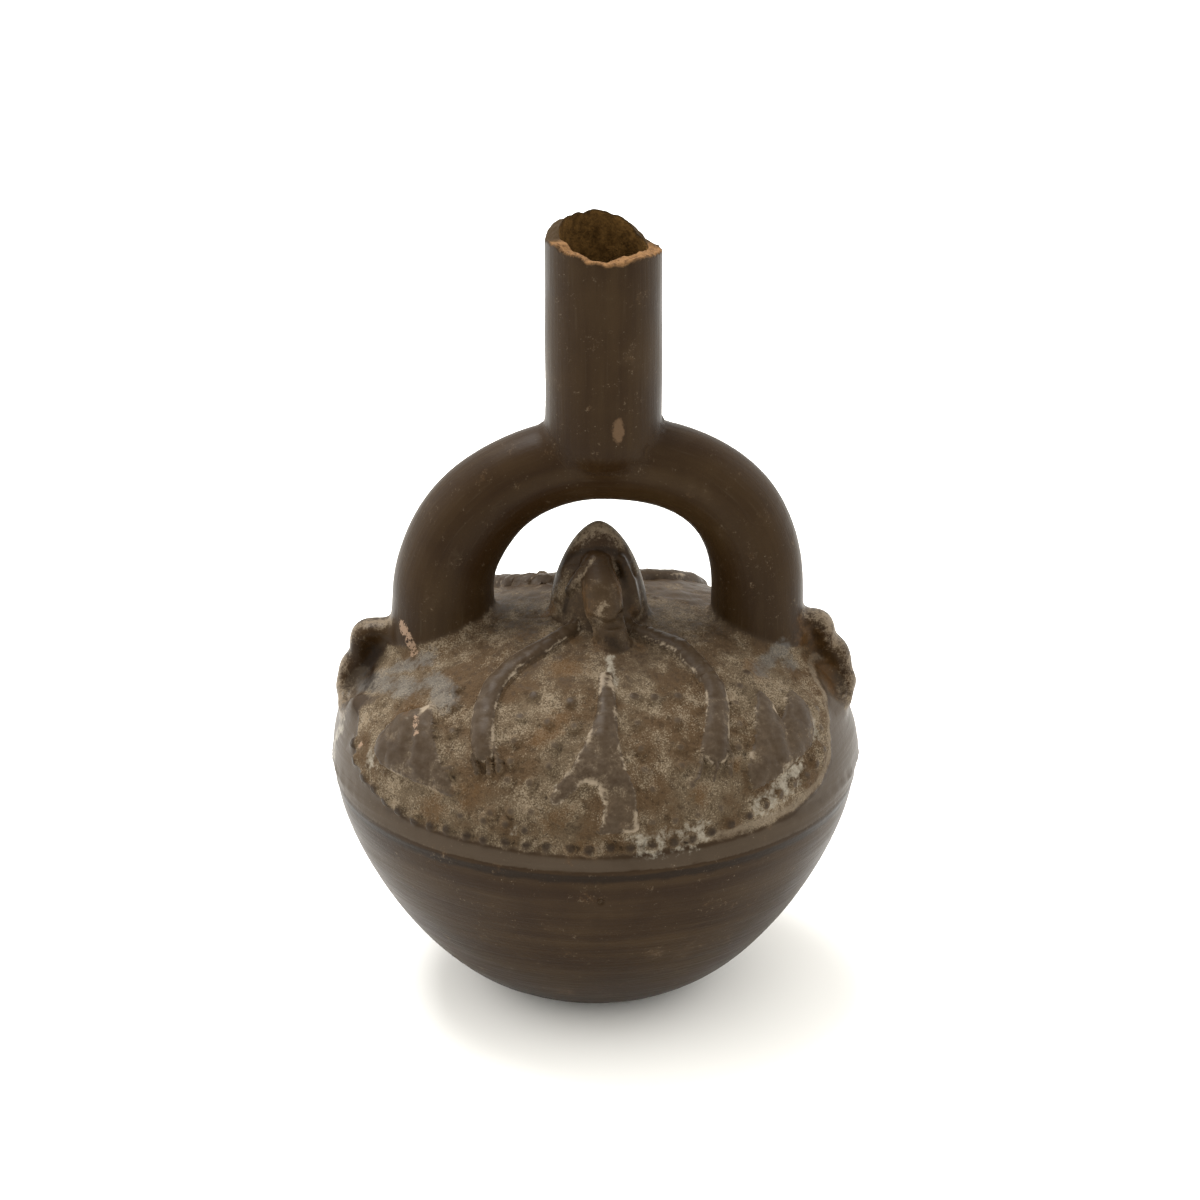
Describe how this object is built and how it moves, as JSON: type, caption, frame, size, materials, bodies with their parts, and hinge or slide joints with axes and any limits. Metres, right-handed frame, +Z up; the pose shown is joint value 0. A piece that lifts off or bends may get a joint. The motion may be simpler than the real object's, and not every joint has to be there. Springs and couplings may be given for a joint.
{
  "type": "stirrup-spout bottle",
  "caption": "Round-bottomed black earthenware bottle with a domed relief shoulder, a small hooded head, side lugs and a hollow stirrup handle with a broken spout.",
  "frame": {"origin": "on the surface it stands on, under the middle of the flat foot", "axes": "+Z up, -Y to the front that the head faces, +X to the right of someone looking at that front, along the stirrup's plane"},
  "size_m": [0.1524, 0.15, 0.2276],
  "materials": {
    "blackware": "smoke-fired earthenware, burnished to a soft sheen, with earth deposits in the relief"
  },
  "bodies": {
    "root": {"jar": "blackware"}
  },
  "joints": []
}
